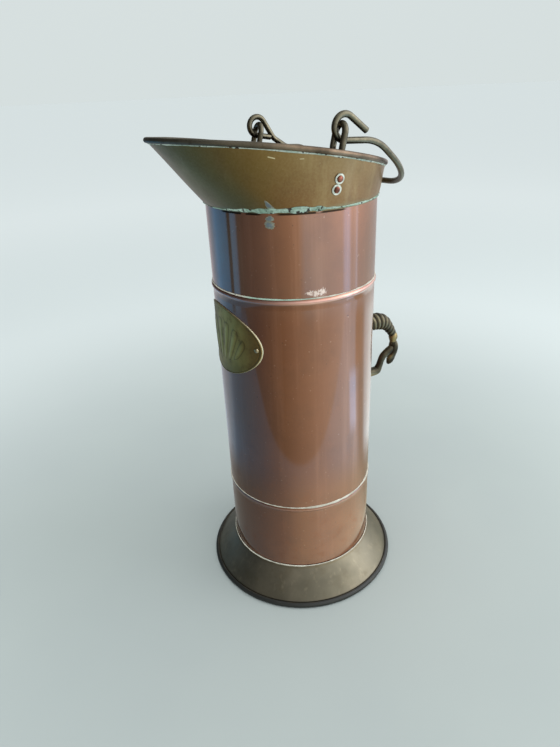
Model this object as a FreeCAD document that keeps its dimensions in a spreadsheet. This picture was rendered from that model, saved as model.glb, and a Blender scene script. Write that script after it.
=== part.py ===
"""A tall coal bucket: three copper drums on a flared brass foot, a brass pouring mouth and a swinging bail.

The upright axis is Z and the pouring lip points to -X. The origin is the middle of the ring that the
foot stands on. Lengths are millimetres and angles are degrees.
"""
import FreeCAD, Part
import Sketcher
import math
import os

V = FreeCAD.Vector
doc = FreeCAD.newDocument("coal_bucket")

# Driving sizes, one cell each
SIZES = {
    "sheet_gauge": 1.0,
    "fit_gap": 0.05,
    "overrun": 5.0,
    "drum_radius": 90.0,
    "drum_bottom": 20.0,
    "lower_drum_rise": 109.5,
    "middle_drum_rise": 260.2,
    "upper_drum_rise": 86.9,
    "joint_bead_half": 3.4,
    "joint_bead_proud": 1.7,
    "spigot_length": 12.0,
    "base_height": 27.0,
    "base_flange": 9.0,
    "foot_height": 40.5,
    "foot_flare": 32.0,
    "foot_wall": 1.3,
    "foot_roll_radius": 3.5,
    "foot_roll_lift": 3.2,
    "foot_wire_radius": 2.2,
    "collar_overlap": 3.0,
    "lip_overhang": 53.0,
    "back_overhang": 6.0,
    "cheek_overhang": 9.0,
    "lip_rise": 64.4,
    "cheek_rise": 46.0,
    "back_rise": 24.9,
    "cheek_lean": 3.4,
    "rim_radius": 2.6,
    "rim_wire_radius": 1.5,
    "hinge_back": 8.0,
    "hinge_inset": 17.0,
    "hinge_skew": 2.5,
    "hinge_rise": 22.7,
    "rod_radius": 3.0,
    "eye_half_width": 8.0,
    "eye_straight": 10.0,
    "eye_closing_angle": 95.0,
    "eye_leg": 38.5,
    "ear_slant": 13.5,
    "tail_width": 12.0,
    "tail_gauge": 3.0,
    "tail_seat_gap": 0.45,
    "tail_top": 31.0,
    "tail_end": 62.0,
    "upper_rivet_drop": 45.3,
    "lower_rivet_drop": 55.0,
    "rivet_radius": 1.8,
    "rivet_head_radius": 3.1,
    "rivet_head_rise": 1.9,
    "washer_radius": 4.8,
    "washer_gauge": 0.8,
    "left_hook_radius": 10.9,
    "left_hook_back": 3.0,
    "left_hook_drop": 3.2,
    "left_hook_start": 53.0,
    "left_hook_tip": 21.5,
    "right_hook_radius": 9.5,
    "right_hook_back": -2.5,
    "right_hook_drop": 1.4,
    "right_hook_end": 260.0,
    "right_hook_tip": 17.5,
    "left_knee_back": 39.4,
    "left_knee_drop": 16.1,
    "left_knee_bend": 42.0,
    "right_knee_back": 17.1,
    "right_knee_drop": 15.0,
    "right_knee_bend": 14.0,
    "right_step_back": 33.6,
    "right_step_drop": 25.7,
    "right_step_bend": 14.0,
    "right_shoulder_back": 55.6,
    "right_shoulder_drop": 27.1,
    "right_shoulder_bend": 24.0,
    "grip_clear": 5.5,
    "grip_dip": 17.8,
    "grip_inset": 5.5,
    "left_grip_bend": 50.0,
    "right_grip_bend": 38.0,
    "plaque_drop": 53.7,
    "plaque_half_width": 59.5,
    "plaque_half_height": 39.3,
    "plaque_gauge": 0.9,
    "plaque_rivet_inset": 5.9,
    "plaque_rivet_radius": 1.4,
    "plaque_head_radius": 2.7,
    "plaque_head_rise": 1.3,
    "handle_drop": 79.7,
    "handle_height": 70.0,
    "handle_stand": 57.5,
    "handle_lug_radius": 10.5,
    "handle_stem_radius": 5.2,
    "handle_rivet_radius": 2.5,
    "handle_rivet_depth": 9.0,
    "handle_head_radius": 5.0,
    "handle_head_rise": 2.4,
    "handle_washer_radius": 7.0,
}

# How much narrower the mouth is towards its lip than towards its back
MOUTH_EGG_SHARE = 0.105

# Back handle, each row: share of its stand off the drum, share of its height, share of a radius
ROPE_SHARES = [(-0.10, 1.00, 1.00), (0.18, 1.01, 1.00), (0.40, 1.01, 0.98),
               (0.58, 0.97, 0.90), (0.73, 0.87, 0.72), (0.83, 0.75, 0.58), (0.91, 0.61, 0.46),
               (0.94, 0.45, 0.56), (0.94, 0.33, 0.59), (0.90, 0.20, 0.54), (0.84, 0.10, 0.28)]
STEM_SHARES = [(0.90, 0.40, 0.88), (0.76, 0.33, 0.94), (0.65, 0.25, 0.90), (0.59, 0.14, 0.92),
               (0.50, 0.03, 1.06), (0.35, 0.00, 1.16), (0.15, 0.00, 1.30), (-0.10, 0.00, 1.60)]
KNOT_SHARES = (0.92, 0.62, 0.56)

sheet = doc.addObject("Spreadsheet::Sheet", "dims")
for row, (name, number) in enumerate(SIZES.items(), 1):
    sheet.set(f"A{row}", name)
    sheet.set(f"B{row}", str(number))
    sheet.setAlias(f"B{row}", name)
doc.recompute()


class Size:
    """A size that carries both its number and its expression in the sheet."""

    def __init__(self, text, number):
        self.text = text
        self.number = float(number)

    def join(self, sign, other):
        other = other if isinstance(other, Size) else Size(str(other), other)
        a, b = self.number, other.number
        number = {"+": a + b, "-": a - b, "*": a * b}[sign] if sign != "/" else a / b
        return Size(f"({self.text} {sign} {other.text})", number)

    def __add__(self, other):
        return self.join("+", other)

    def __sub__(self, other):
        return self.join("-", other)

    def __mul__(self, other):
        return self.join("*", other)

    def __truediv__(self, other):
        return self.join("/", other)


class Sheet:
    """The sheet's sizes by name."""

    def __getattr__(self, name):
        return Size(f"dims.{name}", sheet.get(name))


d = Sheet()

# Heights and radii that follow from the sizes
joint_half = d.joint_bead_half
lower_joint = d.drum_bottom + d.lower_drum_rise
upper_joint = lower_joint + d.middle_drum_rise
collar_foot = upper_joint + d.upper_drum_rise
collar_top = collar_foot + d.collar_overlap
foot_radius = d.drum_radius + d.foot_flare
mouth_reach = d.drum_radius + d.lip_overhang
mouth_back = d.drum_radius + d.back_overhang
mouth_half_width = d.drum_radius + d.cheek_overhang
cheek_height = collar_foot + d.cheek_rise
hinge_height = cheek_height + d.hinge_rise
hinge_half_width = mouth_half_width - d.hinge_inset
plaque_height = upper_joint - d.plaque_drop
handle_top = upper_joint - d.handle_drop
handle_foot = handle_top - d.handle_height


def bind(item, **sizes):
    """Ties properties of an object to the sheet."""
    for name, size in sizes.items():
        item.setExpression(name, size.text)
    return item


def lift(item, height):
    """Raises an object to a height from the sheet."""
    item.setExpression(".Placement.Base.z", height.text)
    return item


def primitive(kind, name, **sizes):
    return bind(doc.addObject(f"Part::{kind}", name), **sizes)


def boolean(kind, name, base, tool):
    item = doc.addObject(f"Part::{kind}", name)
    item.Base = base
    item.Tool = tool
    return item


def gather(kind, name, shapes):
    """Joins several objects in one: a MultiFuse makes one solid, a Compound keeps them apart."""
    item = doc.addObject(f"Part::{kind}", name)
    setattr(item, "Links" if kind == "Compound" else "Shapes", shapes)
    return item


def given(name, shape):
    """An object whose shape is worked out below from the sheet."""
    item = doc.addObject("Part::Feature", name)
    item.Shape = shape
    item.Placement = FreeCAD.Placement()
    return item


def facing(point, axis, roll=None):
    """A placement at a point whose Z runs along an axis, and whose Y runs along roll where that is given."""
    z = V(axis).normalize()
    if roll is None:
        return FreeCAD.Placement(point, FreeCAD.Rotation(V(0, 0, 1), z))
    x = roll.cross(z).normalize()
    return FreeCAD.Placement(point, FreeCAD.Rotation(x, z.cross(x), z, "ZXY"))


def draw(sketch, corners):
    """Closed outline of (radius, height) corners; a third entry bends the next edge to that radius."""
    ends = []
    count = len(corners)
    for k, corner in enumerate(corners):
        after = corners[(k + 1) % count]
        a = V(corner[0].number, corner[1].number, 0)
        b = V(after[0].number, after[1].number, 0)
        if len(corner) > 2:
            half = (b - a).Length / 2
            radius = corner[2].number
            sag = radius - math.sqrt(radius * radius - half * half)
            middle = (a + b) / 2 + V(sag, 0, 0)
            sketch.addGeometry(Part.Arc(a, middle, b))
        else:
            sketch.addGeometry(Part.LineSegment(a, b))
        first = sketch.getPoint(k, 1)
        ends.append((1, 2) if (first - a).Length < (first - b).Length else (2, 1))
    for k in range(count):
        after = (k + 1) % count
        sketch.addConstraint(Sketcher.Constraint("Coincident", k, ends[k][1], after, ends[after][0]))
    for k, corner in enumerate(corners):
        for kind, size in zip(("DistanceX", "DistanceY"), corner):
            index = sketch.addConstraint(Sketcher.Constraint(kind, -1, 1, k, ends[k][0], size.number))
            sketch.setExpression(f"Constraints[{index}]", size.text)
        if len(corner) > 2:
            index = sketch.addConstraint(Sketcher.Constraint("Radius", k, corner[2].number))
            sketch.setExpression(f"Constraints[{index}]", corner[2].text)


def turned(name, corners):
    """A body turned round the upright axis from its outline."""
    body = doc.addObject("PartDesign::Body", name)
    sketch = body.newObject("Sketcher::SketchObject", f"{name}_outline")
    plane = [item for item in body.Origin.OriginFeatures if item.Role == "XZ_Plane"][0]
    sketch.AttachmentSupport = [(plane, "")]
    sketch.MapMode = "FlatFace"
    draw(sketch, corners)
    turn = body.newObject("PartDesign::Revolution", f"{name}_turn")
    turn.Profile = sketch
    turn.ReferenceAxis = (sketch, ["V_Axis"])
    turn.Angle = 360
    return body



# Drums
def drum_with_spigot(name, bottom, joint):
    """A drum whose top end is beaded and necked in to enter the drum above."""
    inside = d.drum_radius - d.sheet_gauge
    spigot = inside - d.fit_gap
    low, high = joint - joint_half, joint + joint_half
    top = high + d.spigot_length
    bulge = (joint_half * joint_half + d.joint_bead_proud * d.joint_bead_proud) / (d.joint_bead_proud * 2)
    throat = spigot - d.sheet_gauge
    outside = d.drum_radius
    return turned(name, [(outside, bottom), (outside, low, bulge), (outside, high), (spigot, high),
                         (spigot, top), (throat, top), (throat, high), (inside, low), (inside, bottom)])


lower_drum = drum_with_spigot("lower_drum", d.drum_bottom, lower_joint)
middle_turned = drum_with_spigot("middle_turned", lower_joint + joint_half + d.fit_gap, upper_joint)
upper_bottom = upper_joint + joint_half + d.fit_gap
drum_inside = d.drum_radius - d.sheet_gauge
upper_drum = turned("upper_drum", [(d.drum_radius, upper_bottom), (d.drum_radius, collar_top),
                                   (drum_inside, collar_top), (drum_inside, upper_bottom)])


# Base: a shallow cup pushed into the lowest drum with its flange down
cup_radius = drum_inside - d.fit_gap
cup = primitive("Cylinder", "base_cup", Radius=cup_radius, Height=d.base_flange + d.sheet_gauge)
cup_hollow = primitive("Cylinder", "base_hollow", Radius=cup_radius - d.sheet_gauge, Height=d.base_flange)
for item in (cup, cup_hollow):
    lift(item, d.base_height - d.base_flange)
bottom_disc = boolean("Cut", "bottom_disc", cup, cup_hollow)


# Foot: a cone of sheet whose lower edge is rolled round a wire and worn flat underneath
roll_middle = foot_radius - d.foot_roll_radius
cone_top = d.drum_radius + d.fit_gap
cone_rise = d.foot_height - d.foot_roll_lift
cone_foot = roll_middle - d.foot_wall
cone_neck = cone_top + d.foot_wall
cone_outer = primitive("Cone", "foot_outside", Radius1=roll_middle, Radius2=cone_neck, Height=cone_rise)
cone_inner = primitive("Cone", "foot_inside", Radius1=cone_foot, Radius2=cone_top, Height=cone_rise)
roll = primitive("Torus", "foot_roll", Radius1=roll_middle, Radius2=d.foot_roll_radius)
roll_bore = d.foot_wire_radius + d.fit_gap
roll_hollow = primitive("Torus", "foot_roll_hollow", Radius1=roll_middle, Radius2=roll_bore)
foot_wire = primitive("Torus", "foot_wire", Radius1=roll_middle, Radius2=d.foot_wire_radius)
for item in (cone_outer, cone_inner, roll, roll_hollow, foot_wire):
    lift(item, d.foot_roll_lift)
below = primitive("Cylinder", "floor_cut", Radius=foot_radius + d.overrun, Height=d.overrun)
lift(below, d.overrun * -1)
cone_wall = boolean("Cut", "foot_cone", cone_outer, cone_inner)
rolled = boolean("Fuse", "foot_rolled", cone_wall, roll)
hollowed = boolean("Cut", "foot_hollowed", rolled, roll_hollow)
foot_skirt = boolean("Cut", "foot_skirt", hollowed, below)


# Mouth: a ruled brass wall from the round drum to an egg-shaped rim that bows up to its lip and leans aside
HALF_TURN = 180
MOUTH_STATIONS = 48
RIM_STATIONS = 24
HALVINGS = 60
PROBE = 1e-4
reach, back = mouth_reach.number, mouth_back.number
half_width = mouth_half_width.number
lip_over = (d.lip_rise - d.cheek_rise).number
back_over = (d.back_rise - d.cheek_rise).number
bow = (lip_over / reach + back_over / back) / (reach + back)
slope = lip_over / reach - bow * reach
lean_share = d.cheek_lean.number / half_width
half_gauge = d.sheet_gauge.number / 2
seam_radius = (d.drum_radius + d.fit_gap).number + half_gauge


def rim_point(turn):
    """Middle of the rim's binding at an angle from the lip."""
    ahead = (reach - back) / 2 + (reach + back) / 2 * math.cos(turn)
    aside = half_width * math.sin(turn) * (1 - MOUTH_EGG_SHARE * math.cos(turn))
    return V(-ahead, -aside, cheek_height.number + slope * ahead + bow * ahead * ahead + lean_share * aside)


def seam_normal(turn):
    return V(-math.cos(turn), -math.sin(turn), 0)


def seam_point(turn):
    """Middle of the mouth's wall where it sits on the drum."""
    return seam_normal(turn) * seam_radius + V(0, 0, collar_foot.number)


def wall_point(turn, share):
    return seam_point(turn) * (1 - share) + rim_point(turn) * share


def wall_normal(turn, share):
    """Outward normal of the wall, from two steps along it."""
    along = wall_point(turn + PROBE, share) - wall_point(turn - PROBE, share)
    normal = (rim_point(turn) - seam_point(turn)).cross(along).normalize()
    here = wall_point(turn, share)
    return normal if normal.x * here.x + normal.y * here.y > 0 else normal * -1


def wall_end(turn):
    """Where the wall's sheet ends, just under the binding."""
    along = (rim_point(turn + PROBE) - rim_point(turn - PROBE)).normalize()
    rise = rim_point(turn) - seam_point(turn)
    square = (rise - along * rise.dot(along)).normalize()
    return rim_point(turn) - square * (d.rim_radius + d.fit_gap).number


def loop_halves(point):
    """Two edges that make one smooth loop through points given by an angle."""
    turns = [2 * math.pi * k / MOUTH_STATIONS for k in range(MOUTH_STATIONS)]
    curve = Part.BSplineCurve()
    curve.interpolate([point(turn) for turn in turns], PeriodicFlag=True, Parameters=turns + [2 * math.pi])
    halves = []
    for start in (0, math.pi):
        half = curve.copy()
        half.segment(start, start + math.pi)
        halves.append(half.toShape())
    return halves


def mouth_shape():
    edges = []
    for offset in (half_gauge, -half_gauge):
        edges.append(loop_halves(lambda turn: seam_point(turn) + seam_normal(turn) * offset))
        edges.append(loop_halves(lambda turn: wall_end(turn) + wall_normal(turn, 1) * offset))
    low_out, high_out, low_in, high_in = edges
    pairs = ((low_out, high_out), (low_in, high_in), (low_out, low_in), (high_out, high_in))
    shell = Part.makeShell([Part.makeRuledSurface(a[k], b[k]) for a, b in pairs for k in (0, 1)])
    shell.sewShape()
    return Part.Solid(shell)


def rim_tube(radius):
    """A closed round tube along the rim."""
    rings = []
    for k in range(RIM_STATIONS):
        turn = 2 * math.pi * k / RIM_STATIONS
        along = rim_point(turn + PROBE) - rim_point(turn - PROBE)
        rings.append(Part.Wire([Part.Circle(rim_point(turn), along, radius.number).toShape()]))
    return Part.makeLoft(rings, True, False, True)


def wall_at(x, z, side):
    """Angle and share on the wall where it passes a given X and Z, left (-1) or right (+1)."""
    low, high = 0.0, math.pi
    for step in range(HALVINGS):
        turn = (low + high) / 2
        share = (z - seam_point(turn).z) / (rim_point(turn * -side).z - seam_point(turn).z)
        if wall_point(turn * -side, share).x < x:
            low = turn
        else:
            high = turn
    return turn * -side, share


rim_binding = boolean("Cut", "rim_binding", given("binding_outside", rim_tube(d.rim_radius)),
                      given("binding_inside", rim_tube(d.rim_wire_radius + d.fit_gap * 2)))
rim_wire = given("rim_wire", rim_tube(d.rim_wire_radius))


# Rivets and washers
def dome(name, place, way, radius, rise):
    """The upper half of an ellipsoid, standing at a place."""
    head = primitive("Ellipsoid", name, Radius1=rise, Radius2=radius, Radius3=radius)
    head.Angle1 = 0
    head.Placement = facing(place, way)
    return head


def rivet(name, middle, axis, radius, head_radius, head_rise, out, inn):
    """A rivet through a point: out and inn are how far its two heads sit from the point along the axis."""
    axis = V(axis).normalize()
    shank = primitive("Cylinder", f"{name}_shank", Radius=radius, Height=out + inn)
    shank.Placement = facing(middle - axis * inn.number, axis)
    heads = []
    for place, way in ((middle + axis * out.number, axis), (middle - axis * inn.number, axis * -1)):
        heads.append(dome(f"{name}_head", place, way, head_radius, head_rise))
    return gather("MultiFuse", name, [shank, *heads])


def hole(name, middle, axis, radius, length):
    """A cutting cylinder centred on a point."""
    item = primitive("Cylinder", name, Radius=radius + d.fit_gap, Height=length)
    item.Placement = facing(middle - V(axis).normalize() * (length.number / 2), axis)
    return item


def washer(name, place, axis, radius, bore):
    ring = primitive("Cylinder", f"{name}_disc", Radius=radius, Height=d.washer_gauge)
    bored = primitive("Cylinder", f"{name}_bore", Radius=bore + d.fit_gap, Height=d.washer_gauge)
    for item in (ring, bored):
        item.Placement = facing(place, axis)
    return boolean("Cut", name, ring, bored)


# Hinge line of the bail, which leans with the rim and stands a little askew over the mouth
hinge_lean = FreeCAD.Rotation(V(1, 0, 0), -math.degrees(math.atan(lean_share)))
hinge_turn = FreeCAD.Rotation(V(0, 0, 1), d.hinge_skew.number).multiply(hinge_lean)
hinge_place = FreeCAD.Placement(V(d.hinge_back.number, 0, hinge_height.number), hinge_turn)


def swept(name, edges, radius):
    """A round rod along a smooth path of edges."""
    spine = given(f"{name}_path", Part.Wire(edges))
    first = edges[0]
    section = primitive("Circle", f"{name}_section", Radius=radius)
    section.Placement = facing(first.valueAt(first.FirstParameter), first.tangentAt(first.FirstParameter))
    rod = doc.addObject("Part::Sweep", name)
    rod.Sections = [section]
    rod.Spine = (spine, [f"Edge{k + 1}" for k in range(len(edges))])
    rod.Solid = True
    rod.Frenet = False
    return rod


def arc(middle, radius, x_axis, y_axis, start, end):
    """Arc between two angles in the plane of two unit axes."""
    def at(angle):
        a = math.radians(angle)
        return middle + (x_axis * math.cos(a) + y_axis * math.sin(a)) * radius
    return Part.Arc(at(start), at((start + end) / 2), at(end)).toShape()


# Ears: a rod bent to an eye above the rim, with a flat tail riveted inside the mouth
wall_holes, ear_rivets, ear_washers = [], [], []


def ear(name, side):
    hinge = hinge_place.multVec(V(0, side * hinge_half_width.number, 0))
    slant = math.radians(d.ear_slant.number)
    up = V(math.sin(slant), 0, math.cos(slant))
    out = V(0, side, 0)
    half = d.eye_half_width.number
    low = half + d.eye_straight.number

    def at(y, z):
        return hinge + out * y + up * z
    edges = [Part.LineSegment(at(half, -d.eye_leg.number), at(half, -half)).toShape(),
             arc(at(0, -half), half, out, up, 0, HALF_TURN),
             Part.LineSegment(at(-half, -half), at(-half, -low)).toShape(),
             arc(at(0, -low), half, out, up, HALF_TURN, HALF_TURN + d.eye_closing_angle.number)]
    eye = swept(f"{name}_eye", edges, d.rod_radius)

    seats = []
    for drop in (d.upper_rivet_drop, d.lower_rivet_drop):
        mark = at(0, -drop.number)
        turn, share = wall_at(mark.x, mark.z, side)
        seats.append((wall_point(turn, share), wall_normal(turn, share)))
    (upper, upper_normal), (lower, lower_normal) = seats
    rise = (upper - lower).normalize()
    normal = (upper_normal + lower_normal).normalize()
    inward = (normal - rise * normal.dot(rise)).normalize() * -1
    inner_face = half_gauge + d.tail_seat_gap.number
    tail_length = d.tail_end - d.tail_top
    tail = primitive("Box", f"{name}_tail", Length=d.tail_width, Width=d.tail_gauge, Height=tail_length)
    corner = upper - rise * (d.tail_end - d.upper_rivet_drop).number + inward * inner_face
    across = inward.cross(rise)
    tail.Placement = facing(corner - across * (d.tail_width.number / 2), rise, inward)
    whole = boolean("Fuse", f"{name}_whole", eye, tail)

    thick = d.sheet_gauge / 2 + d.tail_seat_gap + d.tail_gauge
    drills = []
    for k, (middle, axis) in enumerate(seats):
        label = f"{name}_rivet_{k}"
        drills.append(hole(f"{label}_drill", middle, axis, d.rivet_radius, (thick + d.overrun) * 2))
        proud = d.sheet_gauge / 2 + d.washer_gauge + d.fit_gap * 2
        ear_rivets.append(rivet(label, middle, axis, d.rivet_radius, d.rivet_head_radius, d.rivet_head_rise,
                                proud, thick + d.fit_gap))
        place = middle + V(axis).normalize() * (half_gauge + d.fit_gap.number)
        ear_washers.append(washer(f"{label}_washer", place, axis, d.washer_radius, d.rivet_radius))
    wall_holes.extend(drills)
    return boolean("Cut", name, whole, gather("Compound", f"{name}_drills", drills))


left_ear = ear("left_ear", -1)
right_ear = ear("right_ear", 1)
collar_drills = gather("Compound", "collar_drills", wall_holes)
collar = boolean("Cut", "collar", given("collar_wall", mouth_shape()), collar_drills)
ear_rivet_group = gather("Compound", "ear_rivets", ear_rivets)
ear_washer_group = gather("Compound", "ear_washers", ear_washers)


# Bail: one rod with a hook at each end, knees over the rim and a grip behind the mouth
def bail_edges():
    side = hinge_half_width.number

    def hook_point(hook, angle):
        middle, radius, y = hook
        a = math.radians(angle)
        return V(middle.x + radius * math.cos(a), y, middle.z + radius * math.sin(a))

    def hook_ahead(angle):
        a = math.radians(angle)
        return V(-math.sin(a), 0, math.cos(a))

    def touch(hook, point, sign):
        """Angle at which a straight arm to a point leaves the hook's circle."""
        middle, radius, y = hook
        away = point - V(middle.x, y, middle.z)
        return math.degrees(math.atan2(away.z, away.x) + sign * math.acos(radius / away.Length)) % 360
    left = (V(d.left_hook_back.number, 0, -d.left_hook_drop.number), d.left_hook_radius.number, -side)
    right = (V(d.right_hook_back.number, 0, -d.right_hook_drop.number), d.right_hook_radius.number, side)
    left_knee = V(d.left_knee_back.number, -side, -d.left_knee_drop.number)
    right_knee = V(d.right_knee_back.number, side, -d.right_knee_drop.number)
    right_step = V(d.right_step_back.number, side, -d.right_step_drop.number)
    right_shoulder = V(d.right_shoulder_back.number, side, -d.right_shoulder_drop.number)
    half_grip = side - d.grip_inset.number
    grip_back = (mouth_back - d.hinge_back + d.grip_clear).number
    grip_drop = (d.cheek_rise + d.hinge_rise - d.back_rise + d.grip_dip).number
    grip = [V(grip_back, y, -grip_drop) for y in (-half_grip, half_grip)]
    left_start, left_end = d.left_hook_start.number, touch(left, left_knee, -1)
    right_start, right_end = touch(right, right_knee, 1), d.right_hook_end.number

    def hook_arc(hook, start, end):
        return Part.Arc(*[hook_point(hook, angle) for angle in (start, (start + end) / 2, end)]).toShape()
    left_root = hook_point(left, left_start)
    left_tip = left_root - hook_ahead(left_start) * d.left_hook_tip.number
    edges = [Part.LineSegment(left_tip, left_root).toShape(), hook_arc(left, left_start, left_end)]
    bends = [size.number for size in (d.left_knee_bend, d.left_grip_bend, d.right_grip_bend,
                                      d.right_shoulder_bend, d.right_step_bend, d.right_knee_bend)]
    here = hook_point(left, left_end)
    stops = [left_knee, *grip, right_shoulder, right_step, right_knee, hook_point(right, right_start)]
    for bend, point, after in zip(bends, stops, stops[1:]):
        into, away = (point - here).normalize(), (after - point).normalize()
        turn = math.acos(into.dot(away))
        trim = bend * math.tan(turn / 2)
        start, end = point - into * trim, point + away * trim
        inward = (away - into).normalize()
        middle = point + inward * (bend / math.cos(turn / 2) - bend)
        edges += [Part.LineSegment(here, start).toShape(), Part.Arc(start, middle, end).toShape()]
        here = end
    right_root = hook_point(right, right_end)
    right_tip = right_root + hook_ahead(right_end) * d.right_hook_tip.number
    edges += [Part.LineSegment(here, stops[-1]).toShape(), hook_arc(right, right_start, right_end),
              Part.LineSegment(right_root, right_tip).toShape()]
    for edge in edges:
        edge.Placement = hinge_place
    return edges


bail = swept("bail", bail_edges(), d.rod_radius)


# Plaque: a thin oval bent to the drum, bare of lettering, with a rivet at each end
plaque_inside = d.drum_radius + d.fit_gap
plaque_outside = plaque_inside + d.plaque_gauge
plaque_low = plaque_height - d.plaque_half_height
plaque_tall = d.plaque_half_height * 2
bent_outer = primitive("Cylinder", "plaque_outside", Radius=plaque_outside, Height=plaque_tall)
bent_inner = primitive("Cylinder", "plaque_inside", Radius=plaque_inside, Height=plaque_tall)
for item in (bent_outer, bent_inner):
    lift(item, plaque_low)
bent = boolean("Cut", "plaque_bent", bent_outer, bent_inner)
oval = primitive("Ellipse", "plaque_oval", MajorRadius=d.plaque_half_width, MinorRadius=d.plaque_half_height)
oval.Placement = facing(V(0, 0, plaque_height.number), V(-1, 0, 0), V(0, 0, 1))
prism = primitive("Extrusion", "plaque_prism", LengthFwd=plaque_outside + d.overrun)
prism.Base = oval
prism.DirMode = "Custom"
prism.Dir = V(-1, 0, 0)
prism.Solid = True
blank = boolean("Common", "plaque_blank", bent, prism)
plaque_rivets, plaque_drills = [], []
for k, side in enumerate((-1, 1)):
    aside = side * (d.plaque_half_width - d.plaque_rivet_inset).number
    radius = plaque_inside.number
    middle = V(-math.sqrt(radius * radius - aside * aside), aside, plaque_height.number)
    axis = V(middle.x, middle.y, 0)
    plaque_drills.append(hole(f"plaque_drill_{k}", middle, axis, d.plaque_rivet_radius, d.overrun * 2))
    plaque_rivets.append(rivet(f"plaque_rivet_{k}", middle, axis, d.plaque_rivet_radius, d.plaque_head_radius,
                               d.plaque_head_rise, d.plaque_gauge + d.fit_gap, d.sheet_gauge + d.fit_gap * 2))
plaque = boolean("Cut", "plaque", blank, gather("Compound", "plaque_drills", plaque_drills))
plaque_rivet_group = gather("Compound", "plaque_rivets", plaque_rivets)


# Back handle: a cast rope that ends in a leaf, with a stem that comes back to the drum
def handle_point(reach_share, height_share):
    out = d.drum_radius + d.handle_stand * reach_share
    return V(out.number, 0, (handle_foot + d.handle_height * height_share).number)


def tapering(rows, radius):
    """A smooth cast arm through circles set square to its run."""
    points = [handle_point(a, b) for a, b, share in rows]
    rings = []
    for k, (point, row) in enumerate(zip(points, rows)):
        along = points[min(k + 1, len(points) - 1)] - points[max(k - 1, 0)]
        rings.append(Part.Wire([Part.Circle(point, along, radius.number * row[2]).toShape()]))
    return Part.makeLoft(rings, True, False)


rope = given("handle_rope", tapering(ROPE_SHARES, d.handle_lug_radius))
stem = given("handle_stem", tapering(STEM_SHARES, d.handle_stem_radius))
knot = primitive("Sphere", "handle_knot", Radius=d.handle_lug_radius * KNOT_SHARES[2])
knot.Placement.Base = handle_point(*KNOT_SHARES[:2])
casting = gather("MultiFuse", "handle_casting", [rope, stem, knot])
seat_radius = d.drum_radius + d.fit_gap
drum_clear = primitive("Cylinder", "handle_seat", Radius=seat_radius, Height=d.handle_height * 3)
lift(drum_clear, handle_foot - d.handle_height)
seated = boolean("Cut", "handle_seated", casting, drum_clear)
handle_rivets, handle_washers, handle_drills = [], [], []
outward = V(1, 0, 0)
for k, height in enumerate((handle_foot, handle_top)):
    inside, rim = drum_inside.number, d.handle_washer_radius.number
    seat = math.sqrt(inside * inside - rim * rim) - d.fit_gap.number
    deep = seat_radius + d.handle_rivet_depth
    middle = V(seat, 0, height.number)
    inner = primitive("Cylinder", f"handle_shank_{k}", Radius=d.handle_rivet_radius)
    washer_under = seat - d.washer_gauge.number - d.fit_gap.number
    inner.Height = deep.number - washer_under
    inner.Placement = facing(V(washer_under, 0, height.number), outward)
    head = dome(f"handle_head_{k}", V(washer_under, 0, height.number), outward * -1, d.handle_head_radius,
                d.handle_head_rise)
    handle_rivets.append(gather("MultiFuse", f"handle_rivet_{k}", [inner, head]))
    handle_washers.append(washer(f"handle_washer_{k}", middle, outward * -1, d.handle_washer_radius,
                                 d.handle_rivet_radius))
    drill = primitive("Cylinder", f"handle_drill_{k}", Radius=d.handle_rivet_radius + d.fit_gap)
    drill.Height = deep.number + d.fit_gap.number - washer_under
    drill.Placement = facing(V(washer_under, 0, height.number), outward)
    handle_drills.append(drill)
back_handle = boolean("Cut", "back_handle", seated, gather("Compound", "handle_drills", handle_drills))
handle_rivet_group = gather("Compound", "handle_rivets", handle_rivets)
handle_washer_group = gather("Compound", "handle_washers", handle_washers)
drum_drills = gather("Compound", "drum_drills", plaque_drills + handle_drills)
middle_drum = boolean("Cut", "middle_drum", middle_turned, drum_drills)


# Check the document and write one file for each sub-part
NODES = [foot_skirt, foot_wire, bottom_disc, lower_drum, middle_drum, upper_drum, collar, rim_binding,
         rim_wire, left_ear, right_ear, ear_rivet_group, ear_washer_group, bail, back_handle,
         handle_rivet_group, handle_washer_group, plaque, plaque_rivet_group]
doc.recompute()
for item in doc.Objects:
    if {"Invalid", "Error"} & set(item.State):
        raise RuntimeError(f"{item.Label} failed: {item.State}")
for node in NODES:
    if node.Shape.isNull() or not node.Shape.isValid():
        raise RuntimeError(f"{node.Label} has no valid shape")
rod_volume = math.pi * d.rod_radius.number ** 2 * sum(edge.Length for edge in bail.Spine[0].Shape.Edges)
print(f"bail volume {bail.Shape.Volume:.0f}, section times length {rod_volume:.0f}")
os.makedirs("parts", exist_ok=True)
for node in NODES:
    box = node.Shape.BoundBox
    print(f"{node.Label:16s} solids {len(node.Shape.Solids)} volume {node.Shape.Volume:10.1f}",
          f"x {box.XMin:.1f} {box.XMax:.1f} y {box.YMin:.1f} {box.YMax:.1f} z {box.ZMin:.1f} {box.ZMax:.1f}")
    node.Shape.exportStep(f"parts/{node.Label}.step")
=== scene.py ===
# %% [markdown]
# # A tall coal bucket of copper and brass
# The bucket is three copper drums on a flared foot, with a slanted brass mouth, a rod bail and a cast
# handle at the back. The solids are loaded as a fixed frame, in metres, with the lip towards -X. Rods,
# rivets and washers keep their solids, and sheet metal is drawn again as smooth surfaces with the dents of
# real sheet.

# %% Load the frame
import math
import bmesh
import bpy
import numpy as np
from mathutils import Matrix, Vector


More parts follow.
